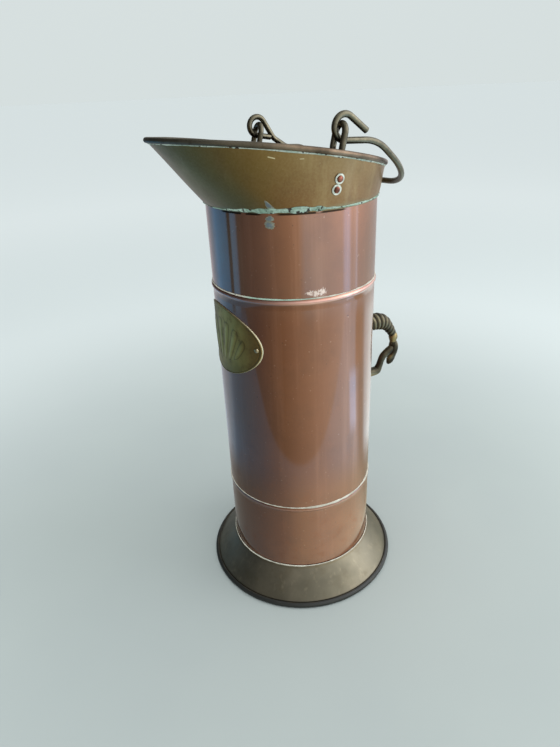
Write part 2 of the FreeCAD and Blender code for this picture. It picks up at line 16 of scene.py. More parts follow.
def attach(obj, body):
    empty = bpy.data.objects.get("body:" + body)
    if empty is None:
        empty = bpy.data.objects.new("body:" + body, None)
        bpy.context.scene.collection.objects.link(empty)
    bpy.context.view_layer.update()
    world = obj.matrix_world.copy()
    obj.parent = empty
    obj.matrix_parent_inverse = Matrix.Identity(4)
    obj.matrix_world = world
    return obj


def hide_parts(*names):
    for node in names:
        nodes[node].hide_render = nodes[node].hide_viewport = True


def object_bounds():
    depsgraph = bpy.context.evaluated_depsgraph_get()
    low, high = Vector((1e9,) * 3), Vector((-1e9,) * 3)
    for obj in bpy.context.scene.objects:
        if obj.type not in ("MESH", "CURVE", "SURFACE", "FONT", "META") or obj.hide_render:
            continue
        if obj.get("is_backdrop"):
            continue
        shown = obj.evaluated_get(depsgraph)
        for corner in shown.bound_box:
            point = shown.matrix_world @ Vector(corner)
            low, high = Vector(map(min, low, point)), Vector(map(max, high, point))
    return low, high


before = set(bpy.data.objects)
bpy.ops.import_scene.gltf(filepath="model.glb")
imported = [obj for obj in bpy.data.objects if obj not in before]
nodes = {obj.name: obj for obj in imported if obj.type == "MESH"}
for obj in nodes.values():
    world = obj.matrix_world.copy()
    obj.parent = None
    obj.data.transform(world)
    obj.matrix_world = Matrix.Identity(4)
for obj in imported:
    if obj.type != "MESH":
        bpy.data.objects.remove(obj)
scene = bpy.context.scene
cad_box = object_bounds()

# %% [markdown]
# ## Surfaces
# Every sheet-metal piece is a grid of points: one parameter runs round the piece and one along it. The grid
# could be modelled by hand, but a formula keeps each piece exactly on the solid that it stands for. Faces
# are made from the grid's row and column numbers in one step, and turned outwards by the sign of the
# volume. Points that fall on each other at a pole are merged, so that every piece is closed.

# %% A grid becomes a mesh
MM, MERGE = 0.001, 1e-7


def angles(count):
    """Equal steps round a full turn, in radians."""
    return np.linspace(0, 2 * np.pi, count, endpoint=False)


def circle(count):
    """Points (cos a, sin a, 0) of a unit circle."""
    a = angles(count)
    return np.stack([np.cos(a), np.sin(a), 0 * a], -1)


def faces_of(rows, columns, wrap_rows):
    """Quads of a grid: corner k, its neighbour along, the one across from that, and the one across."""
    r = np.arange(rows if wrap_rows else rows - 1)[:, None]
    c = np.arange(columns)[None, :]
    r2, c2 = (r + 1) % rows, (c + 1) % columns
    quads = np.stack([r * columns + c, r * columns + c2, r2 * columns + c2, r2 * columns + c], -1)
    return quads.reshape(-1, 4)


def volume_of(points, quads):
    """Sum over the faces of a . (b x c + c x d) / 6, which is negative where the faces point inwards."""
    a, b, c, d = (points[quads[:, k]] for k in range(4))
    return np.einsum("ij,ij->", a, np.cross(b, c) + np.cross(c, d)) / 6


def placed(name, data):
    """A new object in the scene for a mesh, lamp or camera."""
    made = bpy.data.objects.new(name, data)
    scene.collection.objects.link(made)
    return made


def piece(name, grids, body, material, stands_for=(), marks=None, sharp=40, joined=True):
    """One object from grids of points (mm), joined last row to first or closed at poles; a mark per point."""
    points, quads, start = [], [], 0
    for grid in grids:
        flat = grid.reshape(-1, 3)
        skin = faces_of(grid.shape[0], grid.shape[1], joined)
        skin = skin[:, ::-1] if volume_of(flat, skin) < 0 else skin
        points.append(flat)
        quads.append(skin + start)
        start += len(flat)
    points, quads = np.concatenate(points) * MM, np.concatenate(quads)
    mesh = bpy.data.meshes.new(name)
    mesh.from_pydata(points, [], quads)
    if marks is not None:
        layer = mesh.attributes.new("mark", "FLOAT", "POINT")
        layer.data.foreach_set("value", np.concatenate([np.ravel(m) for m in marks]).astype(np.float32))
    closed = bmesh.new()
    closed.from_mesh(mesh)
    bmesh.ops.remove_doubles(closed, verts=closed.verts, dist=MERGE)
    closed.to_mesh(mesh)
    closed.free()
    mesh.shade_smooth()
    mesh.set_sharp_from_angle(angle=math.radians(sharp))
    mesh.materials.append(material)
    made = placed(name, mesh)
    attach(made, body)
    if stands_for:
        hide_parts(*stands_for)
    print(f"{name}: {len(points)} points, {len(quads)} faces")
    return made


print("a ring of 3 by 4 points has", len(faces_of(3, 4, True)), "faces")

# %% [markdown]
# ## Finishes
# Old sheet metal is never one colour: it browns, is rubbed bright on its high places and keeps white polish
# and green crust in its seams. Those patterns could be pictures, but node textures on object coordinates
# follow the piece at any size. A small class lets shader sums read like ordinary arithmetic.

# %% Shader arithmetic
def tint(red, green, blue):
    """Screen colour (0 to 255) as the linear colour that shaders use."""
    c = np.array([red, green, blue]) / 255
    linear = np.where(c < 0.04045, c / 12.92, ((c + 0.055) / 1.055) ** 2.4)
    return (*[float(v) for v in linear], 1.0)


class Value:
    """A shader socket; each sum or product of it adds one Math node."""

    def __init__(self, tree, socket):
        self.tree, self.socket = tree, socket

    def node(self, kind, sockets, out=0, **settings):
        """Adds a node: its settings first, then numbers, colours or other values into its sockets."""
        made = self.tree.nodes.new(kind)
        for key, setting in settings.items():
            if key == "stops":
                ends = made.color_ramp.elements
                ends[0].color, ends[1].color = setting[0][1], setting[-1][1]
                for place, colour in setting[1:-1]:
                    ends.new(place).color = colour
            else:
                setattr(made, key, setting)
        for key, value in sockets.items():
            if isinstance(value, Value):
                self.tree.links.new(value.socket, made.inputs[key])
            else:
                made.inputs[key].default_value = value
        return Value(self.tree, made.outputs[out])

    def maths(self, operation, first, second=0.0):
        return self.node("ShaderNodeMath", {0: first, 1: second}, operation=operation)

    def __add__(self, other):
        return self.maths("ADD", self, other)

    def __sub__(self, other):
        return self.maths("SUBTRACT", self, other)

    def __rsub__(self, other):
        return self.maths("SUBTRACT", other, self)

    def __mul__(self, other):
        return self.maths("MULTIPLY", self, other)

    def __truediv__(self, other):
        return self.maths("DIVIDE", self, other)

    __radd__ = __add__
    __rmul__ = __mul__

    def step(self, low, high, start=0.0, end=1.0):
        """Smooth step up: start below low, end above high."""
        sockets = {"Value": self, "From Min": low, "From Max": high, "To Min": start, "To Max": end}
        return self.node("ShaderNodeMapRange", sockets, interpolation_type="SMOOTHSTEP")

    def fade(self, low, high):
        """Smooth step down: 1 below low, 0 above high."""
        return self.step(low, high, 1.0, 0.0)

    def near(self, middle, half, soft):
        """One within half of a middle value, fading to zero over soft."""
        return self.maths("ABSOLUTE", self - middle).fade(half, half + soft)

    def noise(self, scale, detail=4.0, rough=0.6, stretch=(1, 1, 1), shift=(0, 0, 0)):
        """Fractal noise on this vector, stretched along an axis and centred on one half."""
        spot = self.node("ShaderNodeMapping", {"Vector": self, "Scale": stretch, "Location": shift})
        sockets = {"Vector": spot, "Scale": scale, "Detail": detail, "Roughness": rough}
        return self.node("ShaderNodeTexNoise", sockets)

    def mix(self, first, second):
        """Colour that goes from first to second as this value goes from 0 to 1."""
        return self.node("ShaderNodeMix", {0: self, 6: first, 7: second}, out=2, data_type="RGBA")

    def over(self, colour, paint, amount=1.0):
        """Lays a screen colour over another colour, by this value times an amount."""
        return (self * amount).mix(colour, tint(*paint))

    def part(self, axis):
        """One coordinate of this vector."""
        return self.node("ShaderNodeSeparateXYZ", {0: self}, out=axis)


print("shader values take sums, products and steps")

# %% [markdown]
# A recipe is a function that takes the object coordinates and gives the values that vary. What stays the
# same all over a piece is set straight on the shader.

# %% A recipe becomes a material
def finish(name, recipe, **fixed):
    """A material from a recipe; fixed values go straight on its sockets."""
    material = bpy.data.materials.new(name)
    material.use_nodes = True
    tree = material.node_tree
    shader = tree.nodes["Principled BSDF"]
    spot = Value(tree, tree.nodes.new("ShaderNodeTexCoord").outputs["Object"])
    for key, value in fixed.items():
        shader.inputs[key.replace("_", " ")].default_value = value
    for key, value in recipe(spot).items():
        if key == "Bump":
            key, value = "Normal", spot.node("ShaderNodeBump", value)
        tree.links.new(value.socket, shader.inputs[key])
    print("finish:", name, len(tree.nodes), "nodes")
    return material


def around(spot):
    """Angle about the upright axis (degrees, -180 to 180), distance from it and height."""
    x, y, z = (spot.part(k) for k in range(3))
    radius = spot.maths("SQRT", x * x + y * y)
    return spot.maths("ARCTAN2", y, x) * (180 / math.pi), radius, z


def mark_of(spot):
    """The value that each point of a piece carries for its finish."""
    return spot.node("ShaderNodeAttribute", {}, out=2, attribute_name="mark")


print("recipes can use the place, the angle and the marks of a piece")

# %% [markdown]
# ## Copper sheet
# The drums are lacquered copper, brown in the hollows of its polish and redder where it was rubbed, with
# faint marks of hands low down and a few pale specks. The crests of the beads are painted pale pink as a
# painted highlight, three scuffs sit on the upper bead, a thin painted shadow lies under the edge of the
# mouth, and the inside is dull. A clear coat over the metal gives the soft white sheen that lacquer has.

# %% Copper finish
DRUM = 90.0
CREST_RADII, INSIDE_RADII = (0.0904, 0.0913), (0.0886, 0.0896)
HAND_HEIGHTS, SHADE_HEIGHT = (0.05, 0.26), 0.4757
SCUFFS = [(-106.6, 0.3990, 2.9, 0.0024), (-102.8, 0.3980, 2.3, 0.0038), (-98.4, 0.3988, 2.5, 0.0042)]


def copper_recipe(spot):
    turn, radius, height = around(spot)
    cloud = spot.noise(7.0, 3.0, 0.5)
    blotch = spot.noise(26.0, 5.0, 0.62, shift=(3.1, 0.4, 1.7))
    brush = spot.noise(60.0, stretch=(1, 1, 0.05))
    dust = spot.noise(310.0, 1.0, 0.5, shift=(2.0, 9.0, 4.0)).step(0.73, 0.78)
    prints = spot.noise(75.0, 3.0, shift=(7.0, 2.0, 0.3)).step(0.52, 0.70)
    prints = prints * height.step(*HAND_HEIGHTS, 1.0, 0.25)
    pit = spot.noise(330.0, 1.0, 0.5).step(0.74, 0.79)
    # Pale pink on the bead crests: a painted highlight.
    crest_highlight_paint = radius.step(*CREST_RADII) * blotch.step(0.25, 0.60, 0.45, 0.85)
    inside = radius.fade(*INSIDE_RADII)
    uneven = spot.noise(900.0, 3.0, 0.75, stretch=(1, 1, 0.45)) * 6.0

    def fleck(at, high, wide, tall):
        """Share of a ragged oval patch on the drum: middle in degrees and metres, and its half sizes."""
        across, up = (turn - at) / wide, (height - high) / tall
        return (across * across + up * up + uneven).fade(3.2, 4.0)

    scuff = sum(fleck(*patch) for patch in SCUFFS).step(0.0, 1.0)
    shaded = (turn.near(-150, 12, 5) + turn.near(-104, 18, 6)).step(0.0, 1.0)
    patchy = spot.noise(90.0, 2.0, 0.5, shift=(1.0, 8.0, 0.0)).step(0.36, 0.46)
    shade = height.near(SHADE_HEIGHT, 0.0009, 0.0006) * shaded * patchy
    colour = cloud.step(0.32, 0.70).mix(tint(124, 76, 50), tint(139, 88, 59))
    colour = blotch.step(0.45, 0.75).over(colour, (108, 68, 47), 0.45)
    colour = brush.step(0.48, 0.76).over(colour, (160, 110, 84), 0.42)
    colour = dust.over(colour, (204, 172, 148), 0.20)
    colour = prints.over(colour, (160, 116, 94), 0.20)
    colour = pit.over(colour, (70, 50, 40), 0.5)
    colour = crest_highlight_paint.over(colour, (198, 152, 138))
    colour = scuff.over(colour, (228, 214, 204), 0.85)
    colour = shade.over(colour, (34, 32, 27), 0.9)
    colour = inside.over(colour, (112, 98, 86))
    rough = 0.30 + blotch * 0.14 + prints * 0.12 + inside * 0.20 + scuff * 0.3 - crest_highlight_paint * 0.08
    lump = cloud * 0.6 + blotch * 0.25 + brush * 0.15
    coat = (1 - inside) * (1 - scuff) * (1 - shade) * (1 - prints * 0.35)
    return {"Base Color": colour, "Roughness": rough, "Coat Weight": coat,
            "Bump": dict(Height=lump, Strength=0.06, Distance=0.0015)}


copper = finish("copper_sheet", copper_recipe, Metallic=1.0, Specular_Tint=(0.78, 0.66, 0.58, 1),
                Coat_IOR=1.62, Coat_Roughness=0.07)

# %% [markdown]
# ## Drums
# Each drum is rolled from sheet, so it is never quite round. The outline is a closed loop of radius and
# height, turned about the axis, and a sum of a few slow waves pushes it in and out by fractions of a
# millimetre. The bead near the top of a drum is where the next drum starts.

# %% Turned sheet
AROUND = 224
ANY_PHASE = 6.28


def wander(angle, height, size, seed):
    """Slow dents: a sum of cosines of (n * angle + k * height + phase), size in millimetres."""
    pick = np.random.default_rng(seed)
    total = 0
    for n in range(2, 7):
        k, phase, share = pick.uniform(0.006, 0.03), pick.uniform(0, ANY_PHASE), pick.uniform(0.4, 1) / n
        total = total + share * np.cos(n * angle + k * height + phase) * np.cos(k * height * 1.7 + phase * 2)
    return size * total


def turned(outline, dent, seed):
    """Point (r cos a, r sin a, z) for each outline point (r, z) and angle a, with r moved by slow dents."""
    r, z = outline.T[:, :, None]
    angle = angles(AROUND)
    r = r + wander(angle, z, dent, seed)
    return np.stack([r * np.cos(angle), r * np.sin(angle), np.broadcast_to(z, r.shape)], -1)


def upright(radius, low, high, steps=48):
    """Outline points along a straight wall."""
    return np.linspace((radius, low), (radius, high), steps)


def bead(middle, half, proud):
    """Outline points over a half-round bead: radius DRUM + proud * cos^1.4, along its height."""
    u = np.linspace(-1, 1, 13)
    return np.stack([DRUM + proud * np.cos(np.pi / 2 * u) ** 1.4, middle + half * u], -1)


print("turned sheet has", AROUND, "points round it")

# %% [markdown]
# The joints are measured from the floor. A drum's top is necked in so that it slips into the drum above,
# and the upper drum ends plain inside the mouth.

# %% Three drums
GAUGE, CLEAR = 1.0, 0.05
BASE, FOOT_TOP, LOWER_JOINT, UPPER_JOINT, SEAM = 20.0, 40.5, 129.5, 389.7, 476.6
BEAD_HALF, LOWER_PROUD, UPPER_PROUD = 3.4, 0.8, 1.6
SPIGOT, MOUTH_TUCK = 12.0, 3.0
NEXT = BEAD_HALF + CLEAR
INSIDE = DRUM - GAUGE


def drum_outline(low, joint, proud):
    """Wall, bead and spigot going up outside, and the same going down inside."""
    start, top, end = joint - BEAD_HALF, joint + BEAD_HALF, joint + BEAD_HALF + SPIGOT
    neck, bore = INSIDE - CLEAR, INSIDE - CLEAR - GAUGE
    spigot = [(neck, top), (neck, end), (bore, end), (bore, top), (INSIDE, start)]
    return np.concatenate([upright(DRUM, low, start), bead(joint, BEAD_HALF, proud)[1:], spigot,
                           upright(INSIDE, start - 1, low)])


lower_outline = drum_outline(BASE, LOWER_JOINT, LOWER_PROUD)
middle_outline = drum_outline(LOWER_JOINT + NEXT, UPPER_JOINT, UPPER_PROUD)
upper_ends = (UPPER_JOINT + NEXT, SEAM + MOUTH_TUCK)
upper_outline = np.concatenate([upright(DRUM, *upper_ends, 30), upright(INSIDE, *upper_ends[::-1], 30)])
DRUMS = [("lower_copper", "lower_drum", lower_outline, 0.10, 3),
         ("middle_copper", "middle_drum", middle_outline, 0.14, 5),
         ("upper_copper", "upper_drum", upper_outline, 0.10, 8)]
for name, solid, outline, dent, seed in DRUMS:
    drum = piece(name, [turned(outline, dent, seed)], "bucket", copper, [solid])

# %% [markdown]
# ## Foot
# The foot is a cone of dull brass gone grey, with its edge rolled over a wire. The roll is painted nearly
# black, and a thin dark line of painted shade runs in the crease where the sheet closes on itself.

# %% Foot finish and shape
ROLL_RADII, GROOVE_RADIUS, NECK_HEIGHTS = (0.1178, 0.1190), 0.1176, (0.0370, 0.0398)


def foot_recipe(spot):
    _, radius, height = around(spot)
    cloud = spot.noise(14.0, rough=0.55, shift=(1.0, 5.0, 0.0))
    grime = spot.noise(46.0, 5.0, 0.65)
    rub = spot.noise(120.0, 3.0, stretch=(1, 1, 0.4)).step(0.55, 0.78)
    roll = (radius + (grime - 0.5) * 0.004).step(*ROLL_RADII)
    worn = grime.step(0.52, 0.70)
    # A thin dark line in the crease between the cone and the roll: painted shade.
    crease_shade = radius.near(GROOVE_RADIUS, 0.0005, 0.0008) * height.step(0.004, 0.006)
    colour = cloud.step(0.30, 0.72).mix(tint(92, 88, 75), tint(124, 117, 100))
    colour = grime.step(0.48, 0.72).over(colour, (88, 79, 60), 0.35)
    colour = rub.over(colour, (164, 152, 128), 0.22)
    colour = (roll * (1 - worn * 0.15)).over(colour, (30, 32, 29))
    colour = crease_shade.over(colour, (30, 30, 26), 0.8)
    colour = height.step(*NECK_HEIGHTS).over(colour, (96, 84, 58), 0.4)
    rough = 0.32 + grime * 0.20 + roll * 0.12
    return {"Base Color": colour, "Roughness": rough, "Metallic": 0.9 - roll * 0.75,
            "Bump": dict(Height=cloud * 0.5 + grime * 0.5, Strength=0.14, Distance=0.0015)}


foot_brass = finish("foot_brass", foot_recipe)
FOOT_EDGE, FOOT_NECK, FOOT_GAUGE = 122.0, DRUM + CLEAR, 1.3
ROLL, LIFT, TUCK, JOIN_IN, JOIN_UP = 3.5, 3.2, 2.4, 2.2, 3.9
ROLL_FROM, ROLL_TO, CONE_STEPS = 118, -228, 26
ROLL_AT = FOOT_EDGE - ROLL
turn = np.radians(np.linspace(ROLL_FROM, ROLL_TO, 40))
roll = np.stack([ROLL_AT + ROLL * np.cos(turn), np.maximum(LIFT + ROLL * np.sin(turn), 0.0)], -1)
cone_out = np.linspace((FOOT_NECK + FOOT_GAUGE, FOOT_TOP), (ROLL_AT - JOIN_IN, LIFT + JOIN_UP), CONE_STEPS)
cone_in = np.linspace((ROLL_AT - FOOT_GAUGE - TUCK, LIFT + TUCK), (FOOT_NECK, FOOT_TOP), CONE_STEPS)
foot_outline = np.concatenate([cone_out, roll, cone_in])
foot = piece("foot_brass_cone", [turned(foot_outline, 0.10, 11)], "bucket", foot_brass, ["foot_skirt"],
             sharp=60)

# %% [markdown]
# ## Mouth
# The mouth is one sheet of brass bent so that straight lines run from the round seam to the egg-shaped rim.
# The rim's height is a curve through its lip, its cheeks and its back, and it leans a little to one side.

# %% Mouth shape
REACH, BACK, HALF_WIDTH, EGG = 143.0, 96.0, 99.0, 0.105
LIP_OVER, BACK_OVER, LEAN, CHEEK = 18.4, -21.1, 3.4, 522.6
BOW = (LIP_OVER / REACH + BACK_OVER / BACK) / (REACH + BACK)
SLOPE = LIP_OVER / REACH - BOW * REACH
RIM_BEAD, RIM_SINK = 2.6, 0.2


def rim_at(turn):
    """Middle of the rim bead: an egg in plan, with a height that bows up to the lip and leans aside."""
    ahead = (REACH - BACK) / 2 + (REACH + BACK) / 2 * np.cos(turn)
    aside = HALF_WIDTH * np.sin(turn) * (1 - EGG * np.cos(turn))
    height = CHEEK + SLOPE * ahead + BOW * ahead ** 2 + LEAN / HALF_WIDTH * aside
    return np.stack([-ahead, -aside, height], -1)


def unit(v):
    return v / np.linalg.norm(v, axis=-1, keepdims=True)


def mouth_lines(turn):
    """Lines of the sheet: rim, way along it, foot, head, way up, and the outward ways at foot and head."""
    turn = np.asarray(turn, float)
    step = 1e-3
    rim, along = rim_at(turn), unit(rim_at(turn + step) - rim_at(turn - step))
    foot_out = np.stack([-np.cos(turn), -np.sin(turn), 0 * turn], -1)
    foot = foot_out * (DRUM + CLEAR + GAUGE / 2) + [0, 0, SEAM]
    rise = rim - foot
    rise = unit(rise - along * np.sum(rise * along, -1, keepdims=True))
    head_out = unit(np.cross(rise, along))
    head_out = head_out * np.sign(np.sum(head_out * foot_out, -1, keepdims=True))
    return rim, along, foot, rim - rise * (RIM_BEAD - RIM_SINK), rise, foot_out, head_out


def wall(turn, share, offset):
    """Point on the sheet: foot to head by share, moved off its middle by offset and two slow dents."""
    _, _, foot, head, _, foot_out, head_out = mouth_lines(turn)
    dent = (0.35 * np.sin(3 * turn + 1) * np.sin(np.pi * share)
            + 0.25 * np.sin(7 * turn + 2) * np.sin(2 * np.pi * share))
    off, share = (offset + dent)[..., None], np.asarray(share)[..., None]
    return foot * (1 - share) + head * share + unit(foot_out * (1 - share) + head_out * share) * off


TURNS = angles(320)
rim, rim_along, seam, wall_top, rise, _, wall_out = mouth_lines(TURNS)
shares = np.linspace(0, 1, 30)[:, None]
mouth_grid = np.concatenate([wall(TURNS[None], shares, GAUGE / 2),
                             wall(TURNS[None], shares[::-1], -GAUGE / 2)])
print("rim from", round(rim[:, 2].min(), 1), "to", round(rim[:, 2].max(), 1), "mm high")

# %% [markdown]
# The brass is olive towards the lip and browner behind, with a warm bloom low down and green along the
# seam. Fine upright streaks and grain lighten it, and two pale scratches lie below the rim on the near
# side.

# %% Mouth finish
LIP_REACH, NEAR_SIDE = (-0.115, -0.015), (-0.06, -0.05)
BLOOM_HEIGHTS, GREEN_HEIGHTS = (0.480, 0.516), (0.4768, 0.4830)
SCRATCH_AT, SCRATCH_SLOPE = (-0.0620, 0.52625), 0.29
SCRAPE_AT = (-0.0367, 0.5238)
HAIR = 0.0003


def mouth_recipe(spot):
    x, y, height = (spot.part(k) for k in range(3))
    cloud = spot.noise(11.0, rough=0.55, shift=(2.0, 0.0, 4.0))
    stain = spot.noise(40.0, 5.0, 0.65)
    streak = spot.noise(70.0, 3.0, stretch=(1, 1, 0.10))
    grain = spot.noise(480.0, 3.0, shift=(6.0, 2.0, 1.0)).step(0.36, 0.64)
    speck = spot.noise(520.0, 1.0, 0.5).step(0.72, 0.77)
    level = height + (x - SCRATCH_AT[0]) * SCRATCH_SLOPE
    scratch = x.near(SCRATCH_AT[0], 0.0026, 0.0006) * level.near(SCRATCH_AT[1], HAIR, HAIR)
    scrape = x.near(SCRAPE_AT[0], 0.0016, 0.0006) * height.near(SCRAPE_AT[1], HAIR, HAIR) * 0.4
    colour = x.fade(*LIP_REACH).mix(tint(122, 97, 62), tint(124, 106, 56))
    bloom = height.fade(*BLOOM_HEIGHTS) * cloud.step(0.30, 0.60)
    colour = bloom.over(colour, (124, 84, 52), 0.45)
    colour = cloud.step(0.40, 0.72).over(colour, (112, 84, 54), 0.50)
    colour = stain.step(0.52, 0.76).over(colour, (84, 68, 44), 0.30)
    colour = streak.step(0.50, 0.76).over(colour, (150, 130, 90), 0.34)
    colour = grain.over(colour, (164, 146, 104), 0.10)
    colour = speck.over(colour, (176, 170, 136), 0.15)
    colour = ((scratch + scrape) * y.fade(*NEAR_SIDE)).over(colour, (214, 206, 170), 0.8)
    green = height.fade(*GREEN_HEIGHTS) * stain.step(0.35, 0.6)
    colour = green.over(colour, (112, 128, 104), 0.45)
    lump = cloud * 0.5 + stain * 0.3 + streak * 0.2
    return {"Base Color": colour, "Roughness": 0.34 + stain * 0.20 + cloud * 0.06,
            "Bump": dict(Height=lump, Strength=0.08, Distance=0.0015)}


mouth_brass = finish("mouth_brass", mouth_recipe, Metallic=1.0, Coat_Weight=0.20, Coat_Roughness=0.18)
mouth = piece("mouth_sheet", [mouth_grid], "bucket", mouth_brass, ["collar"])

# %% [markdown]
# ## Rim bead
# A strip of copper is rolled over a wire along the rim. It is brown, greyer towards the lip and dark where
# crust sits on it, and its thickness wavers because it was closed by hand.

# %% Rim bead
BEAD_GREY = (-0.120, -0.020)
BEAD_WAVER, BEAD_LESS = 0.10, 0.05


def tube(path, along, radius, sides=20, up=(0, 0, 1)):
    """Ring of points radius * (cos, sin) across a path; one radius per path point and side is allowed."""
    side = unit(np.cross(along, np.asarray(up, float)))
    lift = np.cross(side, along)
    a = angles(sides)[:, None]
    radius = np.broadcast_to(radius, (len(path), sides))[..., None]
    return path[:, None] + radius * (side[:, None] * np.cos(a) + lift[:, None] * np.sin(a))


def bead_recipe(spot):
    cloud = spot.noise(30.0)
    crust = spot.noise(110.0, rough=0.65)
    colour = cloud.step(0.35, 0.68).mix(tint(72, 61, 49), tint(118, 101, 83))
    colour = spot.part(0).fade(*BEAD_GREY).over(colour, (98, 98, 86), 0.7)
    colour = crust.step(0.52, 0.72).over(colour, (66, 56, 44), 0.5)
    return {"Base Color": colour, "Roughness": 0.34 + crust * 0.26,
            "Bump": dict(Height=crust * 0.6 + cloud * 0.4, Strength=0.16, Distance=0.001)}


bead_copper = finish("rim_bead_copper", bead_recipe, Metallic=1.0)
bead_radius = RIM_BEAD + BEAD_WAVER * np.sin(9 * TURNS) * np.sin(4 * TURNS + 1) - BEAD_LESS
rim_bead = piece("rim_bead", [tube(rim, rim_along, bead_radius[:, None])], "bucket", bead_copper,
                 ["rim_binding"])

# %% [markdown]
# ## Seam lines
# Solder, white polish and green copper crust stay in every seam: mint under the rim and at the foot of the
# mouth, cream at the foot, and a thin pale line over each bead. The crust is pale with darker grain and
# holes.

# %% Crust finishes
MINT, SAGE, MOSS = tint(180, 204, 188), tint(136, 168, 148), tint(84, 96, 78)
PALE_MINT, PALE_SAGE = tint(204, 214, 202), tint(158, 180, 164)
CREAM, SAND, BUFF = tint(226, 222, 208), tint(198, 192, 176), tint(152, 136, 116)
GREEN_STRETCH = (-126, 18, 10)


def crust_recipe(light, middle, dark, gap, strength, green=None):
    """Crust from light to dark with holes above the gap; green is a stretch (degrees) where it turns mint."""
    def recipe(spot):
        fine = spot.noise(300.0, rough=0.65)
        broad = spot.noise(55.0, 3.0, 0.55, shift=(4.0, 1.0, 2.0))
        holes = spot.noise(240.0, 2.0, 0.5, shift=(9.0, 3.0, 1.0)).step(gap, gap + 0.06)
        colour = broad.step(0.36, 0.64).mix(middle, light)
        if green:
            colour = around(spot)[0].near(*green).over(colour, (176, 204, 186))
        colour = (fine.fade(0.30, 0.56) * strength).mix(colour, dark)
        colour = holes.over(colour, (46, 40, 32))
        return {"Base Color": colour, "Roughness": 0.62 + fine * 0.3,
                "Bump": dict(Height=fine, Strength=0.5, Distance=0.0008)}
    return recipe


mint = finish("mint_crust", crust_recipe(MINT, SAGE, MOSS, gap=0.555, strength=0.70))
pale_mint = finish("pale_mint_crust", crust_recipe(PALE_MINT, PALE_SAGE, MOSS, gap=0.60, strength=0.50))
cream = finish("cream_polish", crust_recipe(CREAM, SAND, BUFF, gap=0.74, strength=0.30))
bead_crust = finish("bead_crust", crust_recipe(CREAM, SAND, BUFF, 0.74, 0.30, GREEN_STRETCH))

# %% [markdown]
# Each line is a low ridge that follows its seam, with a width and a height that come and go, so it is real
# geometry and not only paint. Its foot is sunk into the sheet. The crust at the foot of the mouth is thick
# on the near side, and the polish over the lower bead is wider in front.

# %% Seam ridges
SUNK = 0.35
RING_STEPS = 720
ring, ring_out = angles(RING_STEPS), circle(RING_STEPS)
upwards = np.broadcast_to([0.0, 0.0, 1.0], ring_out.shape)


def ragged(angle, seed, waves=9):
    """Uneven share from 0 to 1 round a seam: a sum of cosines with growing wave numbers, softly clipped."""
    pick = np.random.default_rng(seed)
    total = sum(np.cos(n * n // 2 * angle + pick.uniform(0, ANY_PHASE)) / (1 + 0.18 * n)
                for n in range(2, 2 + waves))
    return 1 / (1 + np.exp(-1.6 * total))


def ridge(path, out, rise_way, width, height):
    """Half-round ridge across a path: width * cos and height * sin over half a turn and a little more."""
    a = np.linspace(-SUNK, np.pi + SUNK, 9)[:, None]
    width, height = width[:, None, None], height[:, None, None]
    return path[:, None] + rise_way[:, None] * np.cos(a) * width + out[:, None] * np.sin(a) * height


def stretch_of(angle, middle, half, soft):
    """Share of a stretch round the axis, in degrees: 1 inside it, falling to 0 over the soft ends."""
    away = np.abs((np.degrees(angle) - middle + 180) % 360 - 180)
    return np.clip((half + soft - away) / soft, 0, 1)


def ring_ridge(name, radius, height, width, proud, material, seed, slope, wide=(0, 0, 1), more=0.0):
    """A ridge round the axis at a radius and height; slope leans it out, more widens the wide stretch."""
    share = ragged(ring, seed)
    path = ring_out * radius + [0, 0, height]
    out = unit(ring_out + upwards * slope)
    way = unit(upwards - ring_out * slope)
    width = width * (1 + more * stretch_of(ring, *wide))
    grid = ridge(path, out, way, width * (0.55 + 0.6 * share), proud * (0.45 + 0.7 * share))
    return piece(name, [grid], "bucket", material, sharp=80)


def mouth_ridge(name, path, width, proud, material, seed):
    """A ridge along the mouth: path on the sheet's middle, half width and height before the raggedness."""
    share = ragged(TURNS, seed)
    width, proud = width * (0.45 + 0.75 * share), proud * (0.4 + 0.7 * share)
    grid = ridge(path + wall_out * (GAUGE / 2), wall_out, rise, width, proud)
    return piece(name, [grid], "bucket", material, sharp=80)


BEAD_LINE, OVER_BEAD = 90.3, BEAD_HALF + 0.3
foot_line = ring_ridge("foot_seam_line", radius=91.0, height=40.7, width=0.8, proud=0.7, material=cream,
                       seed=21, slope=0.8)
lower_line = ring_ridge("lower_bead_line", BEAD_LINE, LOWER_JOINT + OVER_BEAD, width=0.70, proud=0.6,
                        material=cream, seed=22, slope=0.4, wide=(-75, 30, 25), more=0.9)
upper_line = ring_ridge("upper_bead_line", BEAD_LINE, UPPER_JOINT + OVER_BEAD, width=0.75, proud=0.6,
                        material=bead_crust, seed=23, slope=0.4)
thick = stretch_of(TURNS, middle=56, half=22, soft=16)
seam_path = seam + unit(wall_top - seam) * (1.7 + 1.5 * thick)[:, None]
rim_path = rim - rise * (RIM_BEAD + 0.5)
seam_width = 1.0 + 1.9 * thick
seam_line = mouth_ridge("mouth_seam_crust", seam_path, width=seam_width, proud=0.6, material=mint, seed=24)
rim_line = mouth_ridge("rim_crust", rim_path, width=0.9, proud=0.7, material=pale_mint, seed=25)

# %% [markdown]
# ## Drops of solder
# Two flat drops of solder stuck to the copper below the mouth's seam, and a tongue of it ran up the brass
# above them. Each is a thin lens with an uneven outline laid on its sheet, blue-grey in the middle and
# browner at the edge.

# %% Solder drops
def drop(wide, tall, proud, narrow, seed, place):
    """Lens: share of an uneven oval and angle give u, v (narrower upwards); place(u, v, height) lays it."""
    share = np.linspace(0, 1, 12)[:, None]
    angle = angles(40)[None, :]
    uneven = 0.80 + 0.35 * ragged(angle, seed, waves=4)
    v = tall * share * uneven * np.sin(angle)
    u = wide * share * uneven * np.cos(angle) * (1 - narrow * v / tall)
    top = place(u, v, proud * np.sqrt(1.05 - share ** 2) + 0 * u)
    under = place(u[::-1], v[::-1], 0 * u - 0.3)
    mark = np.broadcast_to(share, u.shape)
    return np.concatenate([top, under]), np.concatenate([mark, mark[::-1]])


